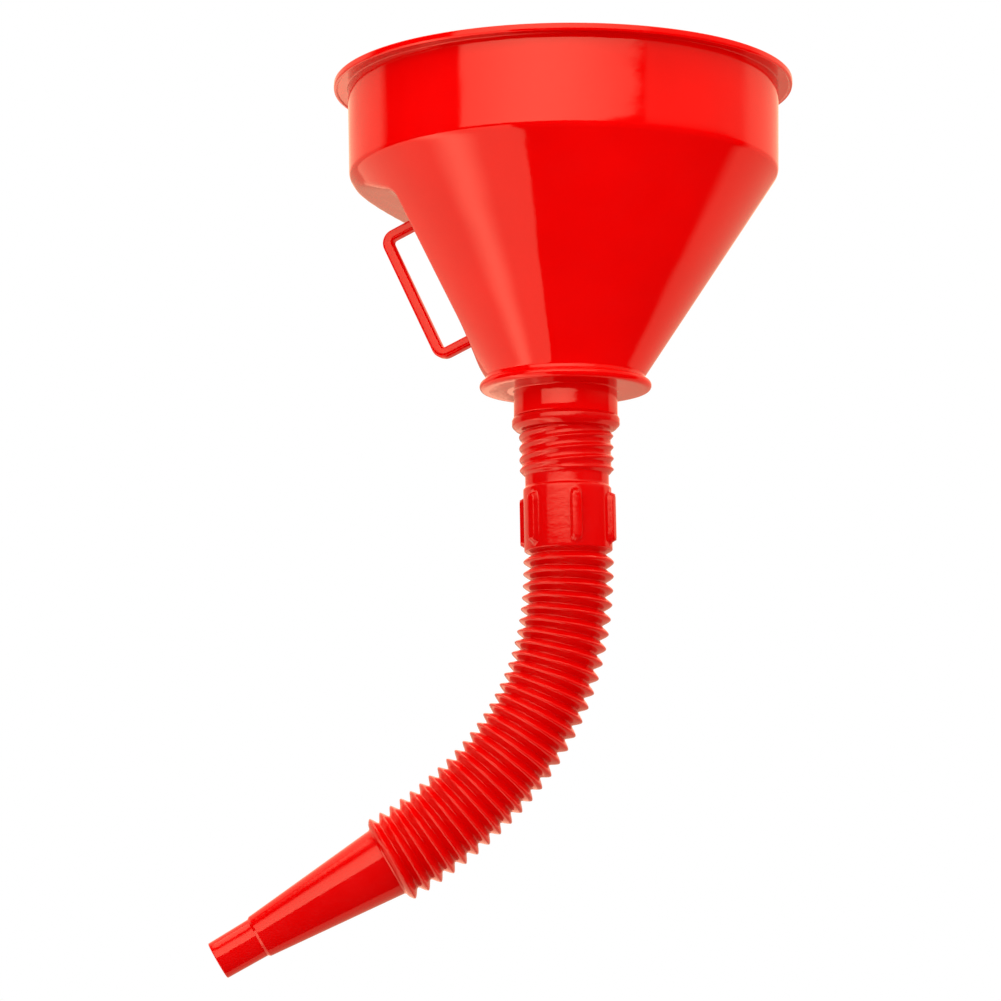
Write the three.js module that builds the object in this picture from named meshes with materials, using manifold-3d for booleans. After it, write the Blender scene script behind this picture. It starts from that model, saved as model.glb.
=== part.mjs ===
// Round filling funnel with a moulded finger handle, a lift-out strainer and a
// screwed-on bellows spout that is bent to one side.
// Millimetres, +Z up through the mouth of the bowl, origin on the bowl's axis in
// the plane of the base flange's underside. The spout bends in the X-Z plane,
// towards -X. The handle stands out at HANDLE_AZIMUTH behind -X.
import * as THREE from "three";
import { mergeVertices } from "three/addons/utils/BufferGeometryUtils.js";
import Module from "manifold-3d";

const wasm = await Module();
wasm.setup();

// ---- driving dimensions, mm and degrees ----
const RIM_R = 105; // outside of the turned-over lip
const RIM_TOP = 143; // flat top of the lip above the base flange's underside
const LIP_UNDER = 140.2;
const BAND_R = 98; // upright band at the corner above the cone
const BAND_TOP_R = 98.6; // the band opens a little towards the mouth
const WALL = 1.8;
const CONE_R0 = 35.4; // cone radius at CONE_Z0
const CONE_Z0 = 5.5;
const CONE_SLOPE = 0.6645; // radius gained per mm of height
const FLANGE_R = 39;
const FLANGE_T = 4.5;
const COLLAR_R = 23.5; // smooth neck under the flange
const COLLAR_END = -12.1;
const SPIGOT_R = 18.2; // hidden part of the neck that the spout screws over
const SPIGOT_END = -36.5;
const NECK_BORE_R = 16.4;
const SEAT_R = 33; // pocket for the strainer
const SEAT_Z = 2.4;

const HANDLE_AZIMUTH = 20; // degrees behind -X
const RECESS_CORNER = [56.31, 79.12]; // [distance from axis, height] where the recess wall meets its roof
const RECESS_KNEE = [37.7, 24.4];
const RECESS_FOOT = [36.6, 7.6];
const RECESS_ROOF_SLOPE = 0.4023;
const RECESS_TILT = 0.0674; // the roof climbs towards the -Y side by this much per mm across
const HANDLE_T = 5; // square section of the handle's bar
const HANDLE_TOP = [90.6, 78.5]; // sharp outer corners of the handle's outline
const HANDLE_LOW = [61.3, 17.3];
const HANDLE_LEG_RISE = 0.4245; // the legs climb inwards
const HANDLE_CORNER_R = 6.4;

const STRAINER_R = 32.7;
const STRAINER_BORE_R = 29.5;
const STRAINER_Z = [2.6, 5.4];
const GAUZE_R = 29.2;
const GAUZE_Z = [2.9, 3.5];

const SPOUT_PIVOT_Z = -14.6; // the spout's axis crosses the bowl's axis here
const SPOUT_TILT = 0.7; // degrees, bottom end towards +X
const THREAD_PITCH = 5.17; // crest to crest
const THREAD_STARTS = 2; // two ridges side by side, each climbing twice the pitch in a turn
const THREAD_CREST_Z = -21.05; // height of a crest on the +X side
const THREAD_ROOT_R = 20.1;
const THREAD_CREST_R = 21.36;
const GRIP_R = 19.9;
const GRIP_RIBS = 6;
const GRIP_RIB_PHASE = -80; // degrees from +X of the first rib
const RING_CREST_R = 20.4;
const RING_END_R = 17.7;
const RING_WALL = 1.15;
const RING_GAP = 1.5; // slot between neighbouring rings of the straight hose
const FIRST_RING_Z = -78.4; // first crest, measured down the spout's own axis
const PITCH_FIRST = 5.89;
const PITCH_LAST = 6.16;
// Angle between each bellows ring and the one before it, degrees, from the cuff down to the nozzle
const BENDS = [
  1.2, 1.4, 1.5, 1.8, 2.1, 2.3, 2.4, 2.5, 2.6, 2.7, 2.7, 2.7, 2.7, 2.7, 2.6,
  2.6, 2.5, 2.4, 2.2, 2.0, 1.9, 1.9, 1.8, 1.8, 1.8, 1.8, 1.9, 2.2,
];
const NOZZLE_BASE_R = 16.1;
const NOZZLE_STEP_R = 9.95;
const NOZZLE_STEP_AT = 68.3; // from the last crest
const TIP_R = [9.1, 8.73];
const TIP_END_AT = 89.5;
const NOZZLE_WALL = 1.25;

const rad = THREE.MathUtils.degToRad;

// ---- helpers ----
const plastic = () =>
  new THREE.MeshStandardMaterial({
    color: 0xe8140c,
    roughness: 0.28,
    metalness: 0,
  });

// Ring or solid of revolution about Z from a closed outline of [radius, height] pairs.
function turned(outline, segments) {
  let area = 0;
  outline.forEach(([r, z], i) => {
    const [r2, z2] = outline[(i + 1) % outline.length];
    area += r * z2 - r2 * z;
  });
  const ordered = area < 0 ? [...outline].reverse() : outline;
  const points = [...ordered, ordered[0]].map(
    ([r, z]) => new THREE.Vector2(r, z),
  );
  return new THREE.LatheGeometry(points, segments).rotateX(Math.PI / 2);
}

function solid(geometry) {
  const g = geometry.clone();
  g.deleteAttribute("normal");
  g.deleteAttribute("uv");
  const merged = mergeVertices(g, 1e-4);
  const index = merged.index.array;
  const keep = [];
  for (let i = 0; i < index.length; i += 3)
    if (
      index[i] !== index[i + 1] &&
      index[i + 1] !== index[i + 2] &&
      index[i] !== index[i + 2]
    )
      keep.push(index[i], index[i + 1], index[i + 2]);
  return new wasm.Manifold(
    new wasm.Mesh({
      numProp: 3,
      vertProperties: merged.attributes.position.array,
      triVerts: new Uint32Array(keep),
    }),
  );
}

function geometryOf(manifold) {
  const m = manifold.getMesh();
  const n = m.numProp;
  const v = new Float32Array(m.numVert * 3);
  for (let i = 0; i < m.numVert; i++)
    v.set(m.vertProperties.subarray(i * n, i * n + 3), i * 3);
  const g = new THREE.BufferGeometry();
  g.setAttribute("position", new THREE.BufferAttribute(v, 3));
  g.setIndex(new THREE.BufferAttribute(new Uint32Array(m.triVerts), 1));
  g.computeVertexNormals();
  return g;
}

function part(name, geometry, material = plastic()) {
  const mesh = new THREE.Mesh(geometry, material);
  mesh.name = name;
  return mesh;
}

// Plate cut to a [distance from axis, height] outline and centred on the handle's radial plane.
const azimuth = rad(HANDLE_AZIMUTH);
const radial = new THREE.Vector3(-Math.cos(azimuth), Math.sin(azimuth), 0);
const across = new THREE.Vector3(Math.sin(azimuth), Math.cos(azimuth), 0);
function radialPlate(outline, depth, tilt = 0) {
  const shape = new THREE.Shape(outline.map((p) => new THREE.Vector2(...p)));
  const basis = new THREE.Matrix4().makeBasis(
    radial,
    new THREE.Vector3(0, 0, 1),
    across,
  );
  return new THREE.ExtrudeGeometry(shape, {
    depth,
    bevelEnabled: false,
    steps: 1,
  })
    .translate(0, 0, -depth / 2)
    .applyMatrix4(new THREE.Matrix4().makeShear(0, 0, 0, 0, 0, -tilt))
    .applyMatrix4(basis);
}

const coneR = (z) => CONE_R0 + CONE_SLOPE * (z - CONE_Z0);

// ---- bowl ----
const bowlOuter = [
  [0, SPIGOT_END],
  [SPIGOT_R, SPIGOT_END],
  [SPIGOT_R, COLLAR_END],
  [COLLAR_R, COLLAR_END],
  [COLLAR_R, 0],
  [FLANGE_R - 1.4, 0],
  [FLANGE_R - 0.3, 0.8],
  [FLANGE_R, 2.3],
  [FLANGE_R - 0.4, 3.8],
  [FLANGE_R - 1.6, FLANGE_T],
  [36.2, 5.4],
  [coneR(6.6), 6.6],
  [96.9, 98.05],
  [97.55, 99.5],
  [97.95, 101.5],
  [BAND_R, 103.4],
  [BAND_TOP_R, LIP_UNDER - 0.8],
  [BAND_TOP_R + 0.8, LIP_UNDER],
  [RIM_R - 1.6, LIP_UNDER],
  [RIM_R - 1.3, LIP_UNDER - 0.5],
  [RIM_R - 0.3, LIP_UNDER - 0.5],
  [RIM_R, LIP_UNDER + 0.1],
  [RIM_R, RIM_TOP - 0.7],
  [RIM_R - 0.8, RIM_TOP],
  [0, RIM_TOP],
];
const wallAcross = WALL * Math.sqrt(1 + CONE_SLOPE ** 2);
const bowlInner = [
  [0, SPIGOT_END - 1],
  [NECK_BORE_R, SPIGOT_END - 1],
  [NECK_BORE_R, SEAT_Z - 1],
  [NECK_BORE_R + 1, SEAT_Z],
  [SEAT_R, SEAT_Z],
  [SEAT_R, 5.6],
  [coneR(98.5) - wallAcross, 98.5],
  [95.8, 101.2],
  [BAND_R - WALL, 104.2],
  [BAND_TOP_R - WALL, RIM_TOP - 0.5],
  [BAND_TOP_R - WALL + 0.5, RIM_TOP],
  [BAND_TOP_R - WALL + 0.5, RIM_TOP + 1],
  [0, RIM_TOP + 1],
];
const farOut = 130;
const roofAt = (s) =>
  RECESS_CORNER[1] + RECESS_ROOF_SLOPE * (s - RECESS_CORNER[0]);
const recessCut = [
  RECESS_CORNER,
  RECESS_KNEE,
  RECESS_FOOT,
  [farOut, RECESS_FOOT[1]],
  [farOut, roofAt(farOut)],
];
const recessCore = [
  [54.88, 80.52],
  [35.8, 24.4],
  [34.75, RECESS_FOOT[1]],
  [34.6, 5],
  [farOut, 5],
  [farOut, roofAt(farOut) + 1.93],
];
const bowl = solid(turned(bowlOuter, 48))
  .subtract(solid(radialPlate(recessCut, 240, RECESS_TILT)))
  .subtract(
    solid(turned(bowlInner, 48)).subtract(solid(radialPlate(recessCore, 240, RECESS_TILT))),
  );

// ---- handle ----
function roundedCorner(corner, towardA, towardB, radius, steps) {
  const c = new THREE.Vector2(...corner);
  const a = new THREE.Vector2(...towardA).sub(c).normalize();
  const b = new THREE.Vector2(...towardB).sub(c).normalize();
  const half = Math.acos(a.dot(b)) / 2;
  const centre = a
    .clone()
    .add(b)
    .normalize()
    .multiplyScalar(radius / Math.sin(half))
    .add(c);
  const start = a.clone().multiplyScalar(radius / Math.tan(half)).add(c);
  const end = b.clone().multiplyScalar(radius / Math.tan(half)).add(c);
  const a0 = Math.atan2(start.y - centre.y, start.x - centre.x);
  let turn = Math.atan2(end.y - centre.y, end.x - centre.x) - a0;
  if (turn > Math.PI) turn -= 2 * Math.PI;
  if (turn < -Math.PI) turn += 2 * Math.PI;
  return Array.from({ length: steps + 1 }, (_, i) => [
    centre.x + radius * Math.cos(a0 + (turn * i) / steps),
    centre.y + radius * Math.sin(a0 + (turn * i) / steps),
  ]);
}
const legDir = new THREE.Vector2(-1, HANDLE_LEG_RISE).normalize();
const barDir = new THREE.Vector2(
  HANDLE_TOP[0] - HANDLE_LOW[0],
  HANDLE_TOP[1] - HANDLE_LOW[1],
).normalize();
const along = (p, d, k) => [p[0] + d.x * k, p[1] + d.y * k];
// inner corners, one bar thickness in from both outer faces
const innerTop = along(
  along(HANDLE_TOP, legDir, HANDLE_T),
  barDir,
  -HANDLE_T,
);
const innerLow = along(along(HANDLE_LOW, legDir, HANDLE_T), barDir, HANDLE_T);
const GAP = 0.35;
const ROOF_GAP = 0.55;
// Where a line from p along the leg meets the recess wall between its knee and its corner, less the gap
function meetWall(p) {
  const w = new THREE.Vector2(
    RECESS_CORNER[0] - RECESS_KNEE[0],
    RECESS_CORNER[1] - RECESS_KNEE[1],
  );
  const px = RECESS_KNEE[0] + GAP - p[0];
  const pz = RECESS_KNEE[1] - p[1];
  const k = (px * w.y - pz * w.x) / (legDir.x * w.y - legDir.y * w.x);
  return along(p, legDir, k);
}
function meetRoof(p) {
  const k =
    (roofAt(p[0]) - ROOF_GAP - p[1]) / (legDir.y - RECESS_ROOF_SLOPE * legDir.x);
  return along(p, legDir, k);
}
const handleOutline = [
  meetWall(HANDLE_LOW),
  ...roundedCorner(
    HANDLE_LOW,
    meetWall(HANDLE_LOW),
    HANDLE_TOP,
    HANDLE_CORNER_R,
    5,
  ),
  ...roundedCorner(
    HANDLE_TOP,
    HANDLE_LOW,
    meetRoof(HANDLE_TOP),
    HANDLE_CORNER_R,
    5,
  ),
  meetRoof(HANDLE_TOP),
  meetRoof(innerTop),
  ...roundedCorner(innerTop, meetRoof(innerTop), innerLow, 1.8, 3),
  ...roundedCorner(innerLow, innerTop, meetWall(innerLow), 1.8, 3),
  meetWall(innerLow),
];

// ---- strainer ----
const spoke = (turnBy) =>
  new THREE.BoxGeometry(2 * STRAINER_BORE_R + 2, 1.8, STRAINER_Z[1] - 3.8)
    .translate(0, 0, (STRAINER_Z[1] + 3.8) / 2)
    .rotateZ(turnBy);
const strainerFrame = solid(
  turned(
    [
      [STRAINER_BORE_R, STRAINER_Z[0]],
      [STRAINER_R, STRAINER_Z[0]],
      [STRAINER_R, STRAINER_Z[1]],
      [STRAINER_BORE_R, STRAINER_Z[1]],
    ],
    40,
  ),
)
  .add(solid(spoke(rad(45))))
  .add(solid(spoke(rad(-45))));
const gauze = turned(
  [
    [0, GAUZE_Z[0]],
    [GAUZE_R, GAUZE_Z[0]],
    [GAUZE_R, GAUZE_Z[1]],
    [0, GAUZE_Z[1]],
  ],
  40,
);

// ---- spout cuff: threaded mouth, waist and ribbed grip, about its own axis ----
const THREAD_TOP = -18.8;
const THREAD_END = -37.6;
const threadRows = 19;
const cuffOutline = [
  [21.6, -12.45],
  [23.6, -12.45],
  [24.3, -13.5],
  [24.35, -15.6],
  [23.7, -17.3],
  [22.2, -18.2],
  [THREAD_ROOT_R, THREAD_TOP],
];
for (let i = 1; i <= threadRows; i++)
  cuffOutline.push([
    THREAD_ROOT_R,
    THREAD_TOP + ((THREAD_END - THREAD_TOP) * i) / threadRows,
  ]);
cuffOutline.push(
  [18.9, -38.6],
  [18.9, -43.8],
  [GRIP_R - 0.3, -44.6],
  [GRIP_R, -45.2],
  [GRIP_R, -72.2],
  [GRIP_R - 0.8, -73.5],
  [RING_END_R, -74.65],
  [RING_END_R - RING_WALL, -74.65],
  [GRIP_R - 2.2, -73.2],
  [GRIP_R - 1.4, -71.8],
  [GRIP_R - 1.4, -46.2],
  [17.5, -44],
  [17.5, -38.9],
  [18.9, -37.4],
  [18.9, -19.6],
  [21.6, -17.6],
);
function threadedCuff() {
  const g = turned(cuffOutline, 24);
  const p = g.attributes.position;
  for (let i = 0; i < p.count; i++) {
    const x = p.getX(i);
    const y = p.getY(i);
    const z = p.getZ(i);
    const r = Math.hypot(x, y);
    if (
      Math.abs(r - THREAD_ROOT_R) > 0.01 ||
      z > THREAD_TOP + 0.01 ||
      z < THREAD_END - 0.01
    )
      continue;
    // a full turn joins up exactly, because the angle is rounded to its column first
    const column = Math.round((Math.atan2(y, x) / (2 * Math.PI)) * 24);
    const phase =
      (z - THREAD_CREST_Z) / THREAD_PITCH - (THREAD_STARTS * column) / 24;
    const fromCrest = Math.abs(phase - Math.round(phase)) * 2;
    const ends = Math.min(
      1,
      (THREAD_TOP - z) / 1.2,
      (z - THREAD_END) / 1.2,
    );
    const rise =
      (THREAD_CREST_R - THREAD_ROOT_R) *
      Math.max(0, 1 - fromCrest / 0.75) *
      Math.max(0, ends);
    p.setXYZ(i, (x * (r + rise)) / r, (y * (r + rise)) / r, z);
  }
  return g;
}
function gripRib(k) {
  const shape = new THREE.Shape(
    [
      [-2.7, 19.1],
      [2.7, 19.1],
      [2.6, 20.7],
      [1.8, 22.25],
      [-1.8, 22.25],
      [-2.6, 20.7],
    ].map((q) => new THREE.Vector2(...q)),
  );
  return new THREE.ExtrudeGeometry(shape, {
    depth: 23.2,
    bevelEnabled: false,
    steps: 1,
  })
    .translate(0, 0, -70.8)
    .rotateZ(rad(GRIP_RIB_PHASE - 90 + (360 * k) / GRIP_RIBS));
}
let cuff = solid(threadedCuff());
for (let k = 0; k < GRIP_RIBS; k++) cuff = cuff.add(solid(gripRib(k)));

// ---- bellows rings ----
const RINGS = BENDS.length - 1;
const pitchAfter = (k) =>
  PITCH_FIRST + ((PITCH_LAST - PITCH_FIRST) * (k - 1)) / (RINGS - 1);
// The ring's outline about its crest: half lengths above and below it can differ with the pitch
const ringOutline = (up, down) => [
  [RING_END_R, up],
  [RING_CREST_R, 0.35],
  [RING_CREST_R, -0.35],
  [RING_END_R, -down],
  [RING_END_R - RING_WALL, -down],
  [RING_CREST_R - 1.3, 0],
  [RING_END_R - RING_WALL, up],
];

// ---- nozzle with the last crest, about its own axis, crest at 0 ----
const nozzleOutline = (up) => [
  [RING_END_R, up],
  [RING_CREST_R, 0.35],
  [RING_CREST_R, -0.35],
  [NOZZLE_BASE_R + 0.6, -1.9],
  [NOZZLE_BASE_R, -2.9],
  [NOZZLE_STEP_R, -NOZZLE_STEP_AT],
  [TIP_R[0], -NOZZLE_STEP_AT - 0.8],
  [TIP_R[1], -TIP_END_AT],
  [TIP_R[1] - NOZZLE_WALL, -TIP_END_AT],
  [TIP_R[0] - NOZZLE_WALL, -NOZZLE_STEP_AT],
  [NOZZLE_BASE_R - NOZZLE_WALL, -3.4],
  [NOZZLE_BASE_R - 0.4, -1.6],
  [RING_CREST_R - 1.3, 0],
  [RING_END_R - RING_WALL, up],
];

// ---- assembly ----
const funnel = new THREE.Group();
funnel.add(part("funnel_bowl", geometryOf(bowl)));
funnel.add(part("carry_handle", radialPlate(handleOutline, HANDLE_T)));

const strainer = new THREE.Group();
strainer.add(part("strainer_frame", geometryOf(strainerFrame)));
strainer.add(
  part(
    "strainer_gauze",
    gauze,
    new THREE.MeshStandardMaterial({
      color: 0xb8924a,
      roughness: 0.35,
      metalness: 1,
    }),
  ),
);
funnel.add(strainer);

// The spout's axis runs down from SPOUT_PIVOT_Z and leans by SPOUT_TILT.
const spout = new THREE.Group();
spout.position.set(0, 0, SPOUT_PIVOT_Z);
spout.rotation.y = -rad(SPOUT_TILT);
funnel.add(spout);
const cuffMesh = part("spout_cuff", geometryOf(cuff));
cuffMesh.position.z = -SPOUT_PIVOT_Z;
spout.add(cuffMesh);

let bend = -SPOUT_TILT;
const tilt = rad(SPOUT_TILT);
const firstDrop = SPOUT_PIVOT_Z - FIRST_RING_Z - PITCH_FIRST / 2;
// middle of the slot that the next hinge is in
let slot = [
  Math.sin(tilt) * firstDrop,
  SPOUT_PIVOT_Z - Math.cos(tilt) * firstDrop,
];
let above = PITCH_FIRST;
BENDS.forEach((turn, i) => {
  bend += turn;
  const a = rad(bend);
  const down = [-Math.sin(a), -Math.cos(a)];
  const below = i < RINGS ? pitchAfter(Math.min(i + 1, RINGS)) : 0;
  const crest = [
    slot[0] + (down[0] * above) / 2,
    slot[1] + (down[1] * above) / 2,
  ];
  const upLength = (above - RING_GAP) / 2;
  const mesh =
    i < RINGS
      ? part(
          "bellows_ring_" + String(i + 1).padStart(2, "0"),
          turned(ringOutline(upLength, (below - RING_GAP) / 2), 18),
        )
      : part("spout_nozzle", turned(nozzleOutline(upLength), 24));
  mesh.position.set(crest[0], 0, crest[1]);
  mesh.rotation.y = a;
  funnel.add(mesh);
  slot = [
    crest[0] + (down[0] * below) / 2,
    crest[1] + (down[1] * below) / 2,
  ];
  above = below;
});

export default funnel;
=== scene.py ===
import math

import bpy
import numpy as np
from mathutils import Matrix


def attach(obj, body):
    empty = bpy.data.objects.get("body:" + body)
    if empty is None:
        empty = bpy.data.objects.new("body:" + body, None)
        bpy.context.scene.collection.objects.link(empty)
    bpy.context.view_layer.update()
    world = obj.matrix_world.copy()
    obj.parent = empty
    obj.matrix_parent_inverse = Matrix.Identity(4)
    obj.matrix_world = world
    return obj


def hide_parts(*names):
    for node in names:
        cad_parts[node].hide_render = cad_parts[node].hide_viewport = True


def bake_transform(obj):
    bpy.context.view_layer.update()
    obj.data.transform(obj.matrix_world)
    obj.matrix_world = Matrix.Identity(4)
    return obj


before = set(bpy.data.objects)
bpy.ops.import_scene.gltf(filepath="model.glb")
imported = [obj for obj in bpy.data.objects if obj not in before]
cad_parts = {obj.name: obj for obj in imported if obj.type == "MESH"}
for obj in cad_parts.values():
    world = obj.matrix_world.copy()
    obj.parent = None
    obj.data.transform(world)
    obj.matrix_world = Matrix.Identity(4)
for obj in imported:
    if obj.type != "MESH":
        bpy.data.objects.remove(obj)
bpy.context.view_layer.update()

# ------------------------------------------------------------------ numbers, mm
RIM_R, RIM_TOP, LIP_UNDER = 105.0, 143.0, 140.2
BAND_R, BAND_TOP_R, WALL = 98.0, 98.6, 1.8
CONE_R0, CONE_Z0, CONE_SLOPE = 35.4, 5.5, 0.6645
FLANGE_R, COLLAR_R, COLLAR_END = 39.0, 23.5, -12.1
SPIGOT_R, SPIGOT_END, NECK_BORE_R = 18.2, -36.5, 16.4
SEAT_R, SEAT_Z = 33.0, 2.4
HANDLE_AZ = math.radians(20)
HANDLE_T = 5.0
CORNER, ROOF_SLOPE, ROOF_TILT = (56.31, 79.12), 0.4023, 0.0674
HANDLE_TOP, HANDLE_LOW, LEG_RISE = (90.6, 78.5), (61.3, 17.3), 0.4245
PIVOT_Z, TILT = -14.6, 0.7
THREAD_PITCH, THREAD_CREST_Z, ROOT_R, CREST_R = 5.17, -21.05, 20.1, 21.36
THREAD_TOP, THREAD_END = -18.8, -37.6
GRIP_R, RIB_PHASE, RIB_RISE = 19.9, -80.0, 2.6
RING_R, VALLEY_R, FLANK, CREST_ROUND = 20.4, 16.75, 1.7, 0.75
PITCH_FIRST, PITCH_LAST, FIRST_RING = 5.89, 6.16, -78.4
BENDS = [1.2, 1.4, 1.5, 1.8, 2.1, 2.3, 2.4, 2.5, 2.6, 2.7, 2.7, 2.7, 2.7, 2.7,
         2.6, 2.6, 2.5, 2.4, 2.2, 2.0, 1.9, 1.9, 1.8, 1.8, 1.8, 1.8, 1.9, 2.2]
RINGS = len(BENDS) - 1
FINE = 1.0


# ------------------------------------------------------------------ mesh helpers
def smin(a, b, k):
    h = np.clip(k - np.abs(a - b), 0, None) / k
    return np.minimum(a, b) - h * h * k / 4


def smax(a, b, k):
    return -smin(-a, -b, k)


def mesh_object(name, points, faces, material, smooth=True):
    """points in mm, faces an array of 4 corners each"""
    me = bpy.data.meshes.new(name)
    points = np.asarray(points, float).reshape(-1, 3) * 0.001
    faces = np.asarray(faces, np.int32).reshape(-1, 4)
    me.vertices.add(len(points))
    me.vertices.foreach_set("co", points.astype(np.float32).ravel())
    me.loops.add(faces.size)
    me.loops.foreach_set("vertex_index", faces.ravel())
    me.polygons.add(len(faces))
    me.polygons.foreach_set("loop_start", np.arange(0, faces.size, 4, dtype=np.int32))
    me.polygons.foreach_set("loop_total", np.full(len(faces), 4, np.int32))
    me.update(calc_edges=True)
    me.polygons.foreach_set("use_smooth", np.full(len(faces), smooth))
    me.materials.append(material)
    ob = bpy.data.objects.new(name, me)
    bpy.context.scene.collection.objects.link(ob)
    return ob


def grid_faces(nu, nv, wrap_u, wrap_v, start=0):
    """rows u, columns v: faces of a grid whose sides may join up"""
    u = np.arange(nu if wrap_u else nu - 1)
    v = np.arange(nv if wrap_v else nv - 1)
    U, V = np.meshgrid(u, v, indexing="ij")
    U2, V2 = (U + 1) % nu, (V + 1) % nv
    f = np.stack([U * nv + V, U * nv + V2, U2 * nv + V2, U2 * nv + V], -1)
    return f.reshape(-1, 4) + start


def fillet(corner, a, b, radius, steps):
    """points of an arc that rounds a corner between the lines towards a and b"""
    c, a, b = (np.array(q, float) for q in (corner, a, b))
    u, w = (a - c) / np.linalg.norm(a - c), (b - c) / np.linalg.norm(b - c)
    half = math.acos(float(np.clip(u @ w, -1, 1))) / 2
    mid = (u + w) / np.linalg.norm(u + w)
    centre = c + mid * radius / math.sin(half)
    s, e = c + u * radius / math.tan(half), c + w * radius / math.tan(half)
    a0 = math.atan2(*(s - centre)[::-1])
    turn = (math.atan2(*(e - centre)[::-1]) - a0 + math.pi) % (2 * math.pi) - math.pi
    return [tuple(centre + radius * np.array([math.cos(a0 + turn * i / steps), math.sin(a0 + turn * i / steps)]))
            for i in range(steps + 1)]


def rounded_line(points, steps=5):
    """[(r, z) or (r, z, fillet radius)] to a polyline with its corners rounded"""
    out = []
    for i, p in enumerate(points):
        if len(p) == 3 and 0 < i < len(points) - 1:
            out += fillet(p[:2], points[i - 1][:2], points[i + 1][:2], p[2], steps)
        else:
            out.append(tuple(p[:2]))
    return out


def subdivided(points, step):
    """points of a polyline with none further apart than step(r, z)"""
    out = [points[0]]
    for (r0, z0), (r1, z1) in zip(points, points[1:]):
        n = max(1, int(math.ceil(math.hypot(r1 - r0, z1 - z0) / step(0.5 * (r0 + r1), 0.5 * (z0 + z1)))))
        out += [(r0 + (r1 - r0) * i / n, z0 + (z1 - z0) * i / n) for i in range(1, n + 1)]
    return out


# ------------------------------------------------------------------ materials
def node(nt, kind, x, y, **settings):
    n = nt.nodes.new(kind)
    n.location = (x, y)
    for k, v in settings.items():
        if k in n.inputs:
            n.inputs[k].default_value = v
        else:
            setattr(n, k, v)
    return n


def ramp(nt, x, y, stops):
    n = nt.nodes.new("ShaderNodeValToRGB")
    n.location = (x, y)
    while len(n.color_ramp.elements) < len(stops):
        n.color_ramp.elements.new(0.5)
    for e, (p, c) in zip(n.color_ramp.elements, stops):
        e.position = p
        e.color = c if len(c) == 4 else (*c, 1)
    return n


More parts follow.
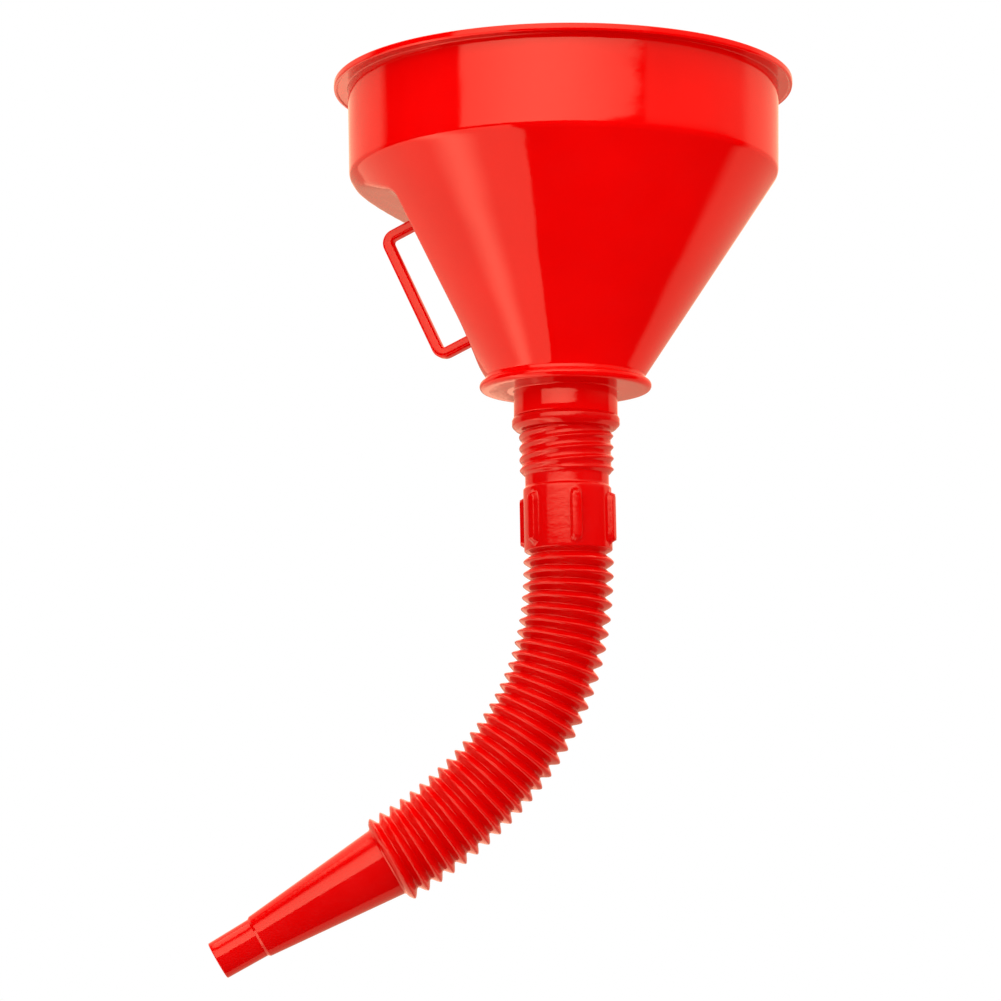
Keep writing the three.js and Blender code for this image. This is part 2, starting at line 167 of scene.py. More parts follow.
def red_plastic(name, rough=(0.075, 0.15), peel=0.05, sink=0.2, flow=(900, 60), seed=0.0, deep=(0.80, 0.0002, 0.0002), pale=(0.90, 0.0006, 0.0005)):
    """glossy dyed polyethylene: faint flow marks in the colour, handling haze in the gloss, mould texture in the bump"""
    m = bpy.data.materials.new(name)
    m.use_nodes = True
    nt = m.node_tree
    nt.nodes.clear()
    out = node(nt, "ShaderNodeOutputMaterial", 900, 0)
    p = node(nt, "ShaderNodeBsdfPrincipled", 600, 0)
    p.inputs["IOR"].default_value = 1.49
    p.inputs["Subsurface Weight"].default_value = 0.08
    p.inputs["Subsurface Radius"].default_value = (1.0, 0.08, 0.05)
    p.inputs["Subsurface Scale"].default_value = 0.0012
    co = node(nt, "ShaderNodeTexCoord", -1200, 0)
    mp = node(nt, "ShaderNodeMapping", -1000, 0)
    mp.inputs["Location"].default_value = (seed, seed * 0.7, seed * 1.3)
    nt.links.new(co.outputs["Object"], mp.inputs["Vector"])
    # colour: slow clouds of pigment and fine streaks
    clouds = node(nt, "ShaderNodeTexNoise", -700, 300, Scale=22.0, Detail=3.0, Roughness=0.5)
    grain = node(nt, "ShaderNodeTexNoise", -700, 60, Scale=float(flow[0]), Detail=2.0, Roughness=0.6)
    for n in (clouds, grain):
        nt.links.new(mp.outputs["Vector"], n.inputs["Vector"])
    both = node(nt, "ShaderNodeMath", -480, 200, operation="MULTIPLY_ADD")
    nt.links.new(grain.outputs["Fac"], both.inputs[0])
    both.inputs[1].default_value = 0.18
    nt.links.new(clouds.outputs["Fac"], both.inputs[2])
    tint = ramp(nt, -260, 260, [(0.35, deep), (0.85, pale)])
    nt.links.new(both.outputs[0], tint.inputs["Fac"])
    nt.links.new(tint.outputs["Color"], p.inputs["Base Color"])
    # gloss: wiped and handled areas, with hairline scuffs
    haze = node(nt, "ShaderNodeTexNoise", -700, -180, Scale=float(flow[1]), Detail=6.0, Roughness=0.62)
    nt.links.new(mp.outputs["Vector"], haze.inputs["Vector"])
    stretch = node(nt, "ShaderNodeMapping", -940, -420)
    stretch.inputs["Scale"].default_value = (40, 40, 900)
    stretch.inputs["Rotation"].default_value = (0.5, 0.3, 0.9)
    nt.links.new(mp.outputs["Vector"], stretch.inputs["Vector"])
    scuff = node(nt, "ShaderNodeTexNoise", -700, -420, Scale=1.0, Detail=4.0, Roughness=0.5)
    nt.links.new(stretch.outputs["Vector"], scuff.inputs["Vector"])
    line = ramp(nt, -480, -420, [(0.60, (0, 0, 0)), (0.74, (1, 1, 1))])
    nt.links.new(scuff.outputs["Fac"], line.inputs["Fac"])
    spread = node(nt, "ShaderNodeMapRange", -480, -180)
    spread.inputs["From Min"].default_value = 0.30
    spread.inputs["From Max"].default_value = 0.72
    spread.inputs["To Min"].default_value = rough[0]
    spread.inputs["To Max"].default_value = rough[1]
    nt.links.new(haze.outputs["Fac"], spread.inputs["Value"])
    total = node(nt, "ShaderNodeMath", -220, -260, operation="MULTIPLY_ADD")
    nt.links.new(line.outputs["Color"], total.inputs[0])
    total.inputs[1].default_value = 0.05
    nt.links.new(spread.outputs["Result"], total.inputs[2])
    nt.links.new(total.outputs[0], p.inputs["Roughness"])
    # surface: slow sink of the mould and a fine skin
    peel_n = node(nt, "ShaderNodeTexNoise", -700, -700, Scale=420.0, Detail=3.0, Roughness=0.55)
    sink_n = node(nt, "ShaderNodeTexNoise", -700, -900, Scale=38.0, Detail=1.0, Roughness=0.4)
    for n in (peel_n, sink_n):
        nt.links.new(mp.outputs["Vector"], n.inputs["Vector"])
    b1 = node(nt, "ShaderNodeBump", 60, -700)
    b1.inputs["Strength"].default_value = sink
    b1.inputs["Distance"].default_value = 0.0012
    nt.links.new(sink_n.outputs["Fac"], b1.inputs["Height"])
    b2 = node(nt, "ShaderNodeBump", 280, -560)
    b2.inputs["Strength"].default_value = peel
    b2.inputs["Distance"].default_value = 0.0006
    nt.links.new(peel_n.outputs["Fac"], b2.inputs["Height"])
    nt.links.new(b1.outputs["Normal"], b2.inputs["Normal"])
    nt.links.new(b2.outputs["Normal"], p.inputs["Normal"])
    nt.links.new(p.outputs["BSDF"], out.inputs["Surface"])
    return m


def brass_wire():
    m = bpy.data.materials.new("woven_brass_wire")
    m.use_nodes = True
    nt = m.node_tree
    p = nt.nodes["Principled BSDF"]
    p.inputs["Metallic"].default_value = 1.0
    co = node(nt, "ShaderNodeTexCoord", -900, 0)
    n = node(nt, "ShaderNodeTexNoise", -700, 0, Scale=240.0, Detail=4.0, Roughness=0.6)
    nt.links.new(co.outputs["Object"], n.inputs["Vector"])
    c = ramp(nt, -460, 120, [(0.35, (0.52, 0.36, 0.15)), (0.7, (0.80, 0.62, 0.33))])
    nt.links.new(n.outputs["Fac"], c.inputs["Fac"])
    nt.links.new(c.outputs["Color"], p.inputs["Base Color"])
    r = node(nt, "ShaderNodeMapRange", -460, -160)
    r.inputs["To Min"].default_value = 0.24
    r.inputs["To Max"].default_value = 0.5
    nt.links.new(n.outputs["Fac"], r.inputs["Value"])
    nt.links.new(r.outputs["Result"], p.inputs["Roughness"])
    b = node(nt, "ShaderNodeBump", -220, -360)
    b.inputs["Strength"].default_value = 0.2
    b.inputs["Distance"].default_value = 0.0002
    nt.links.new(n.outputs["Fac"], b.inputs["Height"])
    nt.links.new(b.outputs["Normal"], p.inputs["Normal"])
    return m


BOWL_RED = red_plastic("moulded_bowl_red", rough=(0.04, 0.085), peel=0.03, sink=0.22, seed=1.7)
SPOUT_RED = red_plastic("blown_spout_red", rough=(0.07, 0.13), peel=0.05, sink=0.06, flow=(1200, 90), seed=5.2, deep=(0.64, 0.0002, 0.0002), pale=(0.74, 0.0006, 0.0005))
SIEVE_RED = red_plastic("strainer_red", rough=(0.14, 0.24), peel=0.09, flow=(1000, 80), seed=9.1)
BRASS = brass_wire()


# ------------------------------------------------------------------ bowl
def cone_r(z):
    return CONE_R0 + CONE_SLOPE * (z - CONE_Z0)


wall_across = WALL * math.hypot(1, CONE_SLOPE)
cone_corner_z = CONE_Z0 + (97.95 - CONE_R0) / CONE_SLOPE
outer_line = rounded_line([
    (SPIGOT_R, SPIGOT_END + 0.4),
    (SPIGOT_R, COLLAR_END, 0.5),
    (COLLAR_R, COLLAR_END, 0.6),
    (COLLAR_R, 0.0, 0.7),
    (37.1, 0.0),
]) + [
    (37.1 + 1.9 * math.sin(a), 2.15 - 2.15 * math.cos(a)) for a in np.linspace(0.25, math.pi - 0.35, 14)
] + rounded_line([
    (37.1, 4.42),
    (36.25, 4.78, 0.35),
    (cone_r(6.4), 6.4, 1.2),
    (97.95, cone_corner_z, 6.0),
    (BAND_TOP_R, 139.0),
    (BAND_TOP_R, LIP_UNDER, 0.55),
    (103.35, LIP_UNDER, 0.3),
    (103.75, 139.72, 0.2),
    (104.75, 139.72, 0.35),
    (RIM_R, 140.6, 0.4),
    (RIM_R, RIM_TOP, 0.75),
    (101.0, RIM_TOP),
], 6)
inner_corner_z = CONE_Z0 + (96.15 + wall_across - CONE_R0) / CONE_SLOPE
inner_line = rounded_line([
    (101.0, RIM_TOP),
    (BAND_TOP_R - WALL + 0.1, RIM_TOP, 0.9),
    (96.15, inner_corner_z, 4.6),
    (cone_r(6.2) - wall_across, 6.2),
    (SEAT_R, 5.3, 0.4),
    (SEAT_R, SEAT_Z, 0.3),
    (NECK_BORE_R, SEAT_Z, 0.9),
    (NECK_BORE_R, SPIGOT_END, 0.5),
    (SPIGOT_R, SPIGOT_END, 0.3),
    (SPIGOT_R, SPIGOT_END + 0.4),
], 6)


def row_step(r, z):
    s = 1.1 if z < 76.5 else 0.36 if z < 101 else 4.0
    if z < 5:
        s = 3.0
    if z > 138:
        s = 0.8
    return s / (FINE * math.cos(math.atan(CONE_SLOPE))) if 5 <= z < 101 else s / FINE


outer_line = subdivided(outer_line, row_step)
inner_line = subdivided(inner_line, row_step)[1:-1]

# columns: close together across the recess, wider apart elsewhere
edge = math.radians(60)
near = np.arange(-edge, edge, math.radians(0.42) / FINE)
far = np.linspace(edge, 2 * math.pi - edge, int(200 * FINE) + 1)[:-1]
phi = np.concatenate([near, far])
cos_phi = np.cos(phi)
facing = cos_phi > 0.2
safe_cos = np.where(facing, cos_phi, 0.2)


def recess_wall(z, inside):
    """distance from the axis, column by column, of the recess's flat wall and sloping roof at height z"""
    if inside:
        zs, rs = [7.6, 24.4, 80.52], [34.75, 35.8, 54.88]
        roof_z = z - 1.93
    else:
        zs, rs = [7.6, 24.4, 79.12], [36.6, 37.7, 56.31]
        roof_z = z
    slope_hi = (rs[2] - rs[1]) / (zs[2] - zs[1])
    slope_lo = (rs[1] - rs[0]) / (zs[1] - zs[0])
    # soft knee
    flat = float(smax(np.array(rs[1] + slope_lo * (z - zs[1])), np.array(rs[1] + slope_hi * (z - zs[1])), 2.2))
    rise = np.maximum(ROOF_SLOPE * safe_cos - ROOF_TILT * np.sin(phi), 0.02)
    roof = (roof_z - (CORNER[1] - ROOF_SLOPE * CORNER[0])) / rise * safe_cos
    return smax(np.full(len(phi), flat), roof, 5.0 if not inside else 3.0)


rows = []
for line, inside in ((outer_line, False), (inner_line, True)):
    for r, z in line:
        rr = np.full(len(phi), r)
        cut = (7.7 < z < 103.0) if not inside else (6.3 < z < 104.0 and r < 97)
        if cut:
            wall = recess_wall(z, inside) / safe_cos
            k = 2.1 if not inside else 1.6
            fade = min(1.0, max(0.05, (z - 7.6) / 8.0)) if not inside else 1.0
            cutr = smin(rr, wall, k * fade)
            rr = np.where(facing, cutr, rr)
        rows.append(np.stack([-rr * np.cos(phi + 0), rr * np.sin(phi), np.full(len(phi), z)], -1))
P = np.array(rows)
# phi is measured from the handle's direction, which is HANDLE_AZ behind -X
x, y = P[..., 0].copy(), P[..., 1].copy()
c, s = math.cos(HANDLE_AZ), math.sin(HANDLE_AZ)
P[..., 0] = x * c + y * s
P[..., 1] = -x * s + y * c
bowl = mesh_object("bowl_moulding", P, grid_faces(P.shape[0], P.shape[1], True, True)[:, ::1], BOWL_RED)

# ------------------------------------------------------------------ handle
U = np.array([-math.cos(HANDLE_AZ), math.sin(HANDLE_AZ), 0.0])
V = np.array([math.sin(HANDLE_AZ), math.cos(HANDLE_AZ), 0.0])
leg = np.array([-1, LEG_RISE]) / math.hypot(1, LEG_RISE)
top, low = np.array(HANDLE_TOP), np.array(HANDLE_LOW)
bar = (top - low) / np.linalg.norm(top - low)
c_top, c_low = top + 2.5 * leg - 2.5 * bar, low + 2.5 * leg + 2.5 * bar


def rounded_square(half, radius, n):
    pts = []
    for q in range(4):
        a0 = math.pi / 2 * q
        cx, cy = (half - radius) * (1 if q in (0, 3) else -1), (half - radius) * (1 if q in (0, 1) else -1)
        for i in range(n + 1):
            a = a0 + math.pi / 2 * i / n
            pts.append((cx + radius * math.cos(a), cy + radius * math.sin(a)))
    return np.array(pts)


section = rounded_square(HANDLE_T / 2, 1.05, 6)  # [outward in the radial plane, across]
arc_top = [np.array(q) for q in fillet(c_top, c_top + leg * 40, c_low, 3.9, 12)]
arc_low = [np.array(q) for q in fillet(c_low, c_top, c_low + leg * 40, 3.9, 12)]
bar_pts = [arc_top[-1] + (arc_low[0] - arc_top[-1]) * t for t in np.linspace(0, 1, 26)[1:-1]]
spine = arc_top + bar_pts + arc_low
tangents = [leg * -1.0] + [None] * (len(spine) - 2) + [leg]
stations = []
for i, q in enumerate(spine):
    t = tangents[i]
    if t is None:
        t = spine[i + 1] - spine[i - 1]
        t = t / np.linalg.norm(t)
    n_out = np.array([-t[1], t[0]])  # points away from the bowl on the bar
    if i == 0:
        n_out = np.array([-t[1], t[0]])
    stations.append(q[None, :] + section[:, :1] * n_out[None, :])
stations = np.array(stations)  # [station, point, (dist, z)]


def plane_hit(points, direction, origin, normal):
    k = ((origin - points) @ normal) / float(direction @ normal)
    return k


roof_n = np.array([-ROOF_SLOPE, 1.0]) / math.hypot(1, ROOF_SLOPE)
wall_dir = np.array([CORNER[0] - 37.7, CORNER[1] - 24.4])
wall_dir /= np.linalg.norm(wall_dir)
wall_n = np.array([-wall_dir[1], wall_dir[0]])


def leg_rows(base, direction, origin, normal, into, steps):
    """stations from the bend to the wall, flared where they meet it"""
    k_end = plane_hit(base, direction, origin + normal * into, normal)
    k_face = plane_hit(base, direction, origin, normal)
    out = []
    centre = base.mean(0)
    fl = 1.3
    ts = np.concatenate([np.linspace(0, 1, steps)[1:-4], 1 - np.array([0.12, 0.085, 0.06, 0.04, 0.025, 0.012, 0.0])])
    for t in ts:
        pts = base + direction[None, :] * (k_end * t)[:, None]
        gap = np.clip(k_face - k_end * t, 0, fl)
        grow = fl - np.sqrt(np.clip(fl * fl - (fl - gap) ** 2, 0, None))
        out.append((pts, grow))
    return out


def to_3d(pts, grow=None):
    """radial-plane points and the section's across offset to space, grown outwards by grow"""
    w = section[:, 1]
    sc = np.ones(len(w)) if grow is None else 1 + grow / (HANDLE_T / 2)
    centre = pts.mean(0)
    q = centre + (pts - centre) * sc[:, None]
    return q[:, :1] * U[None, :] + (w * sc)[:, None] * V[None, :] + q[:, 1:] * np.array([0, 0, 1.0])[None, :]


first = stations[0]
last = stations[-1]
upper = leg_rows(first, leg, np.array(CORNER), roof_n, 0.9, 16)
lower = leg_rows(last, leg, np.array([37.7, 24.4]), wall_n, 0.9, 12)
H = [to_3d(p_, g_) for p_, g_ in reversed(upper)] + [to_3d(st) for st in stations] + [to_3d(p_, g_) for p_, g_ in lower]
H = np.array(H)
hf = grid_faces(H.shape[0], H.shape[1], False, True)
n_sec = H.shape[1]
caps = []
for base_i in (0, (H.shape[0] - 1) * n_sec):
    for i in range(n_sec // 2 - 1):
        a_, b_, c_, d_ = i, i + 1, n_sec - 2 - i, n_sec - 1 - i
        caps.append([base_i + a_, base_i + b_, base_i + c_, base_i + d_] if base_i else [base_i + d_, base_i + c_, base_i + b_, base_i + a_])
handle = mesh_object("finger_handle", H, np.concatenate([hf, np.array(caps)]), BOWL_RED)

# ------------------------------------------------------------------ spout cuff
tilt = math.radians(TILT)


def spout_space(P):
    """from the straight spout's own frame to the part's frame"""
    q = np.array(P, float)
    z = q[..., 2] - PIVOT_Z
    x = q[..., 0].copy()
    q[..., 0] = x * math.cos(tilt) - z * math.sin(tilt)
    q[..., 2] = PIVOT_Z + x * math.sin(tilt) + z * math.cos(tilt)
    return q


PIECE_END, FLANK_TOP = -73.6, -73.05
PIECE_END_R = GRIP_R - FLANK * (FLANK_TOP - PIECE_END) * 0.8
cuff_outer = rounded_line([
    (22.4, -12.14),
    (23.75, -12.14, 0.35),
    (24.4, -13.5, 1.2),
    (24.4, -16.1, 1.3),
    (22.6, -17.95, 1.4),
    (ROOT_R, THREAD_TOP, 0.6),
    (ROOT_R, THREAD_END - 0.2, 0.8),
    (18.9, -38.9, 0.7),
    (18.9, -43.9, 0.7),
    (GRIP_R, -45.05, 0.9),
    (GRIP_R, FLANK_TOP, 0.55),
    (PIECE_END_R, PIECE_END),
], 6)
cuff_outer = subdivided(cuff_outer, lambda r, z: (0.3 if -38.2 < z < -18.2 else 0.32 if -51.5 < z < -46 or -72 < z < -66 else 1.1) / FINE)
cuff_inner = subdivided([(PIECE_END_R - 0.95, PIECE_END), (GRIP_R - 1.4, -71.8), (GRIP_R - 1.4, -46.2), (17.5, -44), (17.5, -38.9), (18.9, -37.4),
                         (18.9, -19.6), (21.5, -17.6), (21.5, -12.9), (21.7, -12.3)], lambda r, z: 3.0)
ncol = int(720 * FINE)
th = np.arange(ncol) * 2 * math.pi / ncol
rows = []
for r, z in cuff_outer:
    rr = np.full(ncol, r)
    if THREAD_END - 1 < z < THREAD_TOP + 0.4:
        phase = (z - THREAD_CREST_Z) / THREAD_PITCH - 2 * th / (2 * math.pi)
        off = np.abs(phase - np.round(phase)) * THREAD_PITCH
        t = np.clip(1 - off / 1.95, 0, 1)
        end = np.clip(min((THREAD_TOP + 0.3 - z) / 1.6, (z - THREAD_END + 0.3) / 1.6), 0, 1)
        rr = rr + (CREST_R - ROOT_R) * (t * t * (3 - 2 * t)) * end
    if -71.2 < z < -47.2:
        beyond = max(0.0, -68.1 - z, z + 50.3)
        for k in range(6):
            a = math.radians(RIB_PHASE + 60 * k)
            d = (np.abs((th - a + math.pi) % (2 * math.pi) - math.pi)) * 21.2
            t = np.clip((2.95 - np.hypot(d, beyond)) / 1.05, 0, 1)
            side = t * t * (3 - 2 * t)
            rr = np.maximum(rr, r + RIB_RISE * side * (1 - 0.05 * (d / 2.0) ** 2))
    rows.append(np.stack([rr * np.cos(th), rr * np.sin(th), np.full(ncol, z)], -1))
for r, z in cuff_inner[:-1]:
    rows.append(np.stack([r * np.cos(th), r * np.sin(th), np.full(ncol, z)], -1))
P = spout_space(np.array(rows))
cuff = mesh_object("threaded_cuff", P, grid_faces(P.shape[0], ncol, True, True)[:, ::-1], SPOUT_RED)

# ------------------------------------------------------------------ bellows hose
def pitch_after(k):
    return PITCH_FIRST + (PITCH_LAST - PITCH_FIRST) * (k - 1) / (RINGS - 1)


bend = -TILT
drop = PIVOT_Z - FIRST_RING - PITCH_FIRST / 2
slot = np.array([math.sin(tilt) * drop, PIVOT_Z - math.cos(tilt) * drop])
above = PITCH_FIRST
slots, crests, angles = [], [], []
for i, b in enumerate(BENDS):
    slots.append(slot)
    bend += b
    a = math.radians(bend)
    d = np.array([-math.sin(a), -math.cos(a)])
    below = pitch_after(min(i + 1, RINGS)) if i < RINGS else 0.0
    crest = slot + d * above / 2
    crests.append(crest)
    angles.append(a)
    slot = crest + d * below / 2
    above = below


def fold_radius(x):
    """outer radius at a distance x from the nearest crest"""
    a = RING_R - FLANK * (np.sqrt(x * x + CREST_ROUND ** 2) - CREST_ROUND)
    return smax(a, np.full_like(a, VALLEY_R), 0.9)


def ring_at(centre, angle, r, n):
    """circle of radius r about a centre in the X-Z plane, square to the spout's direction there"""
    t = np.arange(n) * 2 * math.pi / n
    ex = np.array([math.cos(angle), 0, -math.sin(angle)])
    return np.array([centre[0], 0, centre[1]]) + r * (np.cos(t)[:, None] * ex + np.sin(t)[:, None] * np.array([0, 1.0, 0]))


NC = int(112 * FINE)
half_rows = 11
hose = []
start_centre = np.array([math.sin(tilt) * (PIVOT_Z - PIECE_END), PIVOT_Z - math.cos(tilt) * (PIVOT_Z - PIECE_END)])
for j in range(RINGS + 1):
    c1, a1 = crests[j], angles[j]
    if j:
        c0, a0 = crests[j - 1], angles[j - 1]
    else:
        c0, a0 = start_centre, -tilt
    mid = slots[j]
    length0, length1 = float(np.linalg.norm(mid - c0)), float(np.linalg.norm(c1 - mid))
    u = np.linspace(0, 1, half_rows)
    ease = u ** 1.35
    first_half = length0 * ease if j else length0 * u
    second_half = length1 * ease
    outer, inner = [], []
    samples = [(0, s_) for s_ in first_half] + [(1, s_) for s_ in second_half[::-1][1:]]
    total = length0 + length1
    for side, s_ in samples:
        if side == 0:
            dist = s_
            x = s_
            if j:
                r = float(fold_radius(np.array(x)))
            else:
                # the cuff's flank down to the first valley
                r = float(smax(np.array(PIECE_END_R - FLANK * s_), np.array(VALLEY_R + 0.2), 0.9))
        else:
            dist = total - s_
            r = float(fold_radius(np.array(s_)))
        t = dist / total
        # the centre line rounds the hinge, its direction turning with it
        k = length0 / total
        centre = (1 - t) ** 2 * c0 + 2 * t * (1 - t) * mid + t * t * c1
        ang = a0 + (a1 - a0) * t
        outer.append(ring_at(centre, ang, r, NC))
        if len(outer) % 2 == 1 or t > 0.999:
            inner.append(ring_at(centre, ang, r - 0.95, NC))
    P = np.array(outer + inner[::-1])
    ob = mesh_object("hose_fold_%02d" % j, P, grid_faces(P.shape[0], NC, True, True)[:, ::-1], SPOUT_RED)
    hose.append((ob, c0, c1, len(outer)))

# ------------------------------------------------------------------ nozzle
nozzle_outer = rounded_line([
    (RING_R, 0.0),
    (RING_R, -0.12, 0.02),
    (16.6, -2.35, 0.5),
    (16.1, -3.0, 0.7),
    (9.98, -68.0, 0.5),
    (9.15, -69.1, 0.35),
    (8.74, -89.5, 0.45),
    (7.52, -89.5, 0.3),
    (7.9, -68.6, 0.5),
    (14.7, -3.6, 0.6),
    (15.6, -2.1, 0.3),
    (RING_R - 0.95, -0.05),
], 5)
x_near = np.linspace(0, 1.9, 9)
crest_rows = [(float(fold_radius(np.array(v))), -float(v)) for v in x_near]
nozzle_outer = crest_rows + [q for q in nozzle_outer if q[1] < -2.1][:]
nozzle_outer = subdivided(nozzle_outer, lambda r, z: 2.6 / FINE)
last_c, last_a = crests[-1], angles[-1]
down = np.array([-math.sin(last_a), -math.cos(last_a)])
NN = int(160 * FINE)
rows = []
for r, z in nozzle_outer:
    rows.append(ring_at(last_c + down * (-z), last_a, r, NN))
P = np.array(rows)
nozzle = mesh_object("tapered_nozzle", P, grid_faces(P.shape[0], NN, True, True)[:, ::-1], SPOUT_RED)

# ------------------------------------------------------------------ strainer
ring_line = rounded_line([
    (31.0, 2.62), (32.65, 2.62, 0.35), (32.65, 5.38, 0.6), (29.6, 5.38, 0.6), (29.6, 3.62, 0.25), (30.2, 3.0, 0.2), (30.2, 2.62, 0.15), (31.0, 2.62),
], 5)[:-1]
tt = np.arange(160) * 2 * math.pi / 160
P = np.array([np.stack([r * np.cos(tt), r * np.sin(tt), np.full(160, z)], -1) for r, z in ring_line])
pts = P.reshape(-1, 3)
faces = grid_faces(P.shape[0], 160, True, True)
all_pts, all_faces = [pts], [faces]
count = len(pts)
spoke_section = rounded_square(0.9, 0.35, 4) * np.array([1.0, 0.72])
for turn in (45, -45):
    a = math.radians(turn)
    ex, ey = np.array([math.cos(a), math.sin(a), 0]), np.array([-math.sin(a), math.cos(a), 0])
    rws = []
    for s_ in np.linspace(-30.4, 30.4, 41):
        crown = 0.0 if abs(s_) > 4 else 0.12 * (1 - (s_ / 4) ** 2)
        rws.append(ex * s_ + spoke_section[:, :1] * ey + (4.63 + crown * 0 + spoke_section[:, 1:]) * np.array([0, 0, 1.0]))
    rws = np.array(rws)
    all_pts.append(rws.reshape(-1, 3))
    all_faces.append(grid_faces(rws.shape[0], rws.shape[1], False, True, count))
    count += rws.shape[0] * rws.shape[1]
sieve_ring = mesh_object("strainer_ring", np.concatenate(all_pts), np.concatenate(all_faces), SIEVE_RED)

wire_r, wire_pitch = 0.14, 1.15
all_pts, all_faces, count = [], [], 0
n_wire = int(29.3 / wire_pitch)
ring6 = np.array([(math.cos(a), math.sin(a)) for a in np.arange(5) * 2 * math.pi / 5]) * wire_r
for way in (0, 1):
    for k in range(-n_wire, n_wire + 1):
        off = k * wire_pitch
        reach = math.sqrt(max(0.0, 30.3 ** 2 - off * off))
        if reach < 1.5:
            continue
        n = max(4, int(2 * reach / (wire_pitch / 4)))
        s_ = np.linspace(-reach, reach, n)
        zc = 3.2 + (1 if way else -1) * (1 if k % 2 else -1) * 0.15 * np.cos(math.pi * s_ / wire_pitch)
        base = np.stack([s_, np.full(n, off)] if way == 0 else [np.full(n, off), s_], -1)
        side = np.array([0, 1.0]) if way == 0 else np.array([1.0, 0])
        pr = np.zeros((n, 5, 3))
        pr[:, :, :2] = base[:, None, :] + ring6[None, :, :1] * side[None, None, :]
        pr[:, :, 2] = zc[:, None] + ring6[None, :, 1]
        all_pts.append(pr.reshape(-1, 3))
        all_faces.append(grid_faces(n, 5, False, True, count))
        count += n * 5
gauze = mesh_object("strainer_wire_cloth", np.concatenate(all_pts), np.concatenate(all_faces), BRASS)


# ------------------------------------------------------------------ outward faces
def face_outwards(ob):
    """turns the mesh's faces round if its volume comes out negative"""
    me = ob.data
    n = len(me.vertices)
    co = np.zeros(n * 3, np.float32)
    me.vertices.foreach_get("co", co)
    co = co.reshape(-1, 3).astype(float)
    idx = np.zeros(len(me.loops), np.int32)
    me.loops.foreach_get("vertex_index", idx)
    q = idx.reshape(-1, 4)
    a, b, c_, d_ = (co[q[:, i]] for i in range(4))
    vol = np.einsum("ij,ij->", a, np.cross(b, c_)) + np.einsum("ij,ij->", a, np.cross(c_, d_))
    if vol < 0:
        me.flip_normals()
    return vol


for ob in [bowl, handle, cuff, nozzle, sieve_ring, gauze] + [h[0] for h in hose]:
    face_outwards(ob)

# ------------------------------------------------------------------ which body each piece moves with
for ob, body, nodes, slot_name in (
    (bowl, "bowl", ["funnel_bowl"], "bowl_red"),
    (handle, "bowl", ["carry_handle"], "bowl_red"),
    (cuff, "cuff", ["spout_cuff"], "spout_red"),
    (nozzle, "nozzle", ["spout_nozzle"], "spout_red"),
    (sieve_ring, "strainer", ["strainer_frame"], "strainer_red"),
    (gauze, "strainer", ["strainer_gauze"], "gauze_brass"),
):
    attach(ob, body)
    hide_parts(*nodes)
for j, (ob, c0, c1, _) in enumerate(hose):
    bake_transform(ob)
    if j:
        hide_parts("bellows_ring_%02d" % j)

# ------------------------------------------------------------------ floor
floor_me = bpy.data.meshes.new("studio_floor")
floor_me.from_pydata([(-4, -4, -0.46), (4, -4, -0.46), (4, 4, -0.46), (-4, 4, -0.46)], [], [(0, 1, 2, 3)])
floor = bpy.data.objects.new("studio_floor", floor_me)
bpy.context.scene.collection.objects.link(floor)
fm = bpy.data.materials.new("pale_floor")
fm.use_nodes = True
fm.node_tree.nodes["Principled BSDF"].inputs["Base Color"].default_value = (0.86, 0.86, 0.86, 1)
fm.node_tree.nodes["Principled BSDF"].inputs["Roughness"].default_value = 0.9
floor_me.materials.append(fm)
floor.visible_glossy = False
floor.visible_diffuse = False

# ------------------------------------------------------------------ light
world = bpy.data.worlds.new("studio")
bpy.context.scene.world = world
world.use_nodes = True
nt = world.node_tree
nt.nodes.clear()
wo = node(nt, "ShaderNodeOutputWorld", 900, 0)
bg = node(nt, "ShaderNodeBackground", 700, 0)
nt.links.new(bg.outputs[0], wo.inputs[0])
tc = node(nt, "ShaderNodeTexCoord", -900, 0)
sep = node(nt, "ShaderNodeSeparateXYZ", -700, 0)
nt.links.new(tc.outputs["Generated"], sep.inputs[0])


def maths(op, a, b=None, c=None, clamp=False):
    n = nt.nodes.new("ShaderNodeMath")
    n.operation = op
    n.use_clamp = clamp
    for i, v in enumerate((a, b, c)):
        if v is None:
            continue
        if isinstance(v, (int, float)):
            n.inputs[i].default_value = v
        else:
            nt.links.new(v, n.inputs[i])
    return n.outputs[0]


X, Y, Z = sep.outputs["X"], sep.outputs["Y"], sep.outputs["Z"]
flat = maths("SQRT", maths("ADD", maths("MULTIPLY", X, X), maths("MULTIPLY", Y, Y)))
az = maths("MULTIPLY", maths("ARCTAN2", X, maths("MULTIPLY", Y, -1.0)), 180 / math.pi)  # 0 at the front, + to the right
el = maths("MULTIPLY", maths("ARCTAN2", Z, flat), 180 / math.pi)


def step_up(v, at, width):
    """0 below at, 1 above, over a width"""
    n = nt.nodes.new("ShaderNodeMapRange")
    n.interpolation_type = "SMOOTHSTEP"
    nt.links.new(v, n.inputs["Value"])
    n.inputs["From Min"].default_value = at - width / 2
    n.inputs["From Max"].default_value = at + width / 2
    n.inputs["To Min"].default_value = 0
    n.inputs["To Max"].default_value = 1
    return n.outputs["Result"]


def inside(v, lo, hi, w_lo, w_hi):
    return maths("MULTIPLY", step_up(v, lo, w_lo), maths("SUBTRACT", 1.0, step_up(v, hi, w_hi)))


def add_up(*terms):
    s_ = terms[0]
    for t in terms[1:]:
        s_ = maths("ADD", s_, t)
    return s_


def bump_at(v, centre, half_width):
    t = maths("SUBTRACT", 1.0, maths("ABSOLUTE", maths("DIVIDE", maths("SUBTRACT", v, centre), half_width)), clamp=True)
    return maths("MULTIPLY", maths("MULTIPLY", t, t), maths("SUBTRACT", 3.0, maths("MULTIPLY", t, 2.0)))


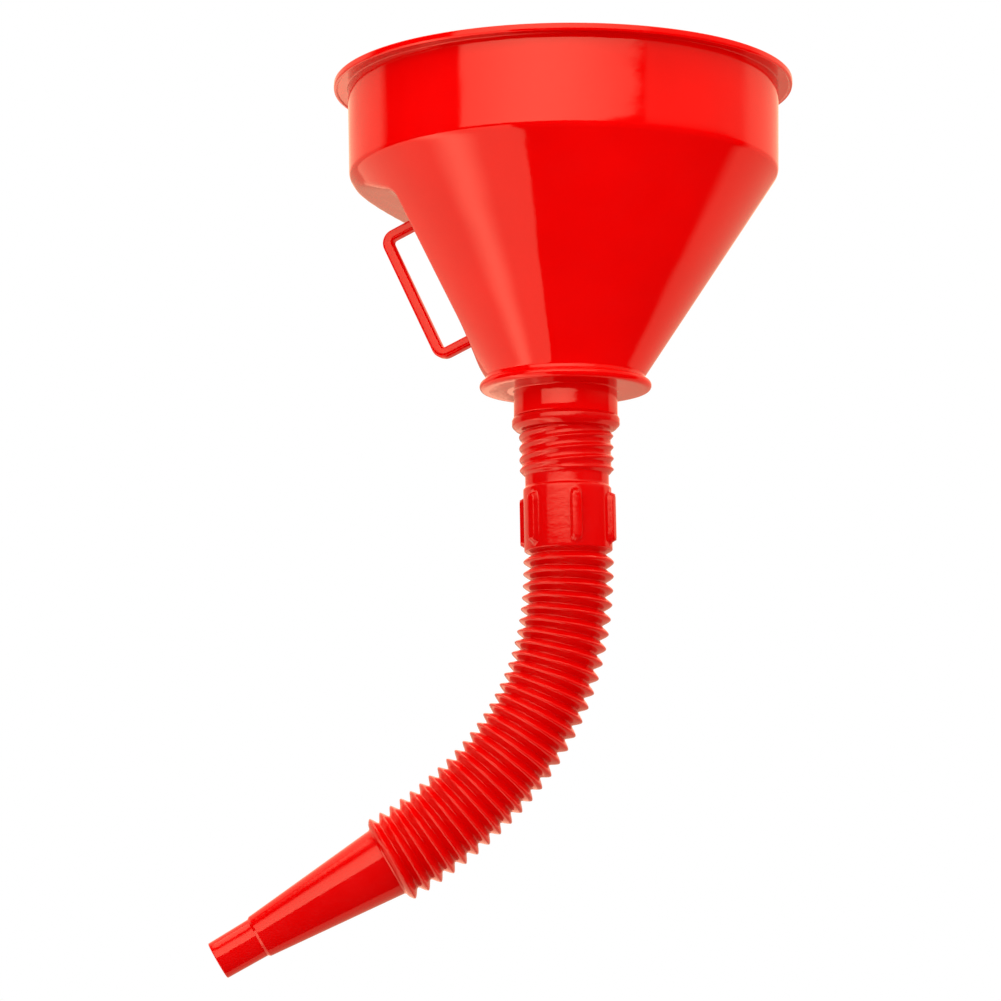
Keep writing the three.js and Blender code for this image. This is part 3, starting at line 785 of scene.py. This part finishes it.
def times(*terms):
    s_ = terms[0]
    for t in terms[1:]:
        s_ = maths("MULTIPLY", s_, t)
    return s_


abs_az = maths("ABSOLUTE", az)
# white backdrop behind, greyer low down
backdrop = times(step_up(abs_az, 112, 10), add_up(0.47, times(step_up(el, 9, 7), add_up(0.16, times(step_up(abs_az, 160, 36), 0.32)))))
# wide window in front, its lower edge rising to the right
past = maths("MAXIMUM", maths("ADD", az, 5.0), 0.0)
sill = maths("ADD", 8.2, times(past, past, 0.0026))
front = times(inside(az, -56, 43, 5, 3), step_up(maths("SUBTRACT", el, sill), 0.0, 1.2), maths("SUBTRACT", 1.0, step_up(el, 42, 10)),
              add_up(1.15, times(bump_at(az, -12, 60), 1.05)))
right = times(inside(az, 43, 112, 3, 8), times(step_up(el, 11, 3), 0.31), maths("SUBTRACT", 1.0, step_up(el, 52, 8)))
# bright ground seen from the left
ground = times(maths("SUBTRACT", 1.0, step_up(az, -28, 1.6)), maths("SUBTRACT", 1.0, step_up(el, -6, 1.5)), add_up(1.0, times(bump_at(az, -74, 18), 1.5)))
top = times(step_up(el, 52, 3), 1.6)
glossy = maths("MAXIMUM", add_up(maths("MAXIMUM", backdrop, ground), front, right, top), 0.002)
lp = node(nt, "ShaderNodeLightPath", 0, 400)
is_cam, is_dif = lp.outputs["Is Camera Ray"], lp.outputs["Is Diffuse Ray"]
mixd = add_up(times(glossy, maths("SUBTRACT", 1.0, is_dif)), times(is_dif, maths("ADD", 0.94, maths("MULTIPLY", Z, 0.13))))
value = add_up(times(mixd, maths("SUBTRACT", 1.0, is_cam)), is_cam)
nt.links.new(value, bg.inputs["Strength"])
warm = nt.nodes.new("ShaderNodeMix")
warm.data_type = "RGBA"
colour_in = [i for i in warm.inputs if i.type == "RGBA"]
colour_in[0].default_value = (2.0, 0.97, 0.64, 1)
colour_in[1].default_value = (1, 1, 1, 1)
nt.links.new(maths("MAXIMUM", is_cam, is_dif), warm.inputs[0])
nt.links.new([o for o in warm.outputs if o.type == "RGBA"][0], bg.inputs["Color"])


def softbox(name, at, aim, size, power, glossy_too=True):
    ld = bpy.data.lights.new(name, "AREA")
    ld.shape = "RECTANGLE"
    ld.size, ld.size_y = size
    ld.energy = power
    ob = bpy.data.objects.new(name, ld)
    bpy.context.scene.collection.objects.link(ob)
    d = np.array(aim, float) - np.array(at, float)
    d /= np.linalg.norm(d)
    up = np.array([0, 0, 1.0]) if abs(d[2]) < 0.95 else np.array([0, 1.0, 0])
    r_ = np.cross(d, up)
    r_ /= np.linalg.norm(r_)
    u_ = np.cross(r_, d)
    ob.matrix_world = Matrix(((r_[0], u_[0], -d[0], at[0]), (r_[1], u_[1], -d[1], at[1]), (r_[2], u_[2], -d[2], at[2]), (0, 0, 0, 1)))
    ob.visible_camera = False
    ob.visible_glossy = glossy_too
    return ob


softbox("key_softbox", (-0.9, -1.6, 1.5), (0, 0, 0), (1.2, 1.2), 3, False)
softbox("fill_softbox", (1.6, -1.2, 0.5), (0, 0, 0), (1.0, 1.0), 1, False)

# ------------------------------------------------------------------ camera
cam_data = bpy.data.cameras.new("camera")
cam_data.sensor_fit = "HORIZONTAL"
cam_data.sensor_width = 36.0
cam_data.lens = 3890.0 / 1001.0 * 36.0
cam_data.clip_start, cam_data.clip_end = 0.05, 30.0
camera = bpy.data.objects.new("camera", cam_data)
bpy.context.scene.collection.objects.link(camera)
e, roll = math.radians(8.6), math.radians(0.35)
view = np.array([0, math.cos(e), math.sin(e)])
right_v, up_v = np.array([1.0, 0, 0]), np.array([0, -math.sin(e), math.cos(e)])
cr = right_v * math.cos(roll) - up_v * math.sin(roll)
cu = right_v * math.sin(roll) + up_v * math.cos(roll)
loc = (-0.02978, -1.73549, -0.31239)
camera.matrix_world = Matrix(((cr[0], cu[0], -view[0], loc[0]), (cr[1], cu[1], -view[1], loc[1]), (cr[2], cu[2], -view[2], loc[2]), (0, 0, 0, 1)))
bpy.context.scene.camera = camera
bpy.context.scene.view_settings.view_transform = "Standard"
bpy.context.scene.view_settings.look = "None"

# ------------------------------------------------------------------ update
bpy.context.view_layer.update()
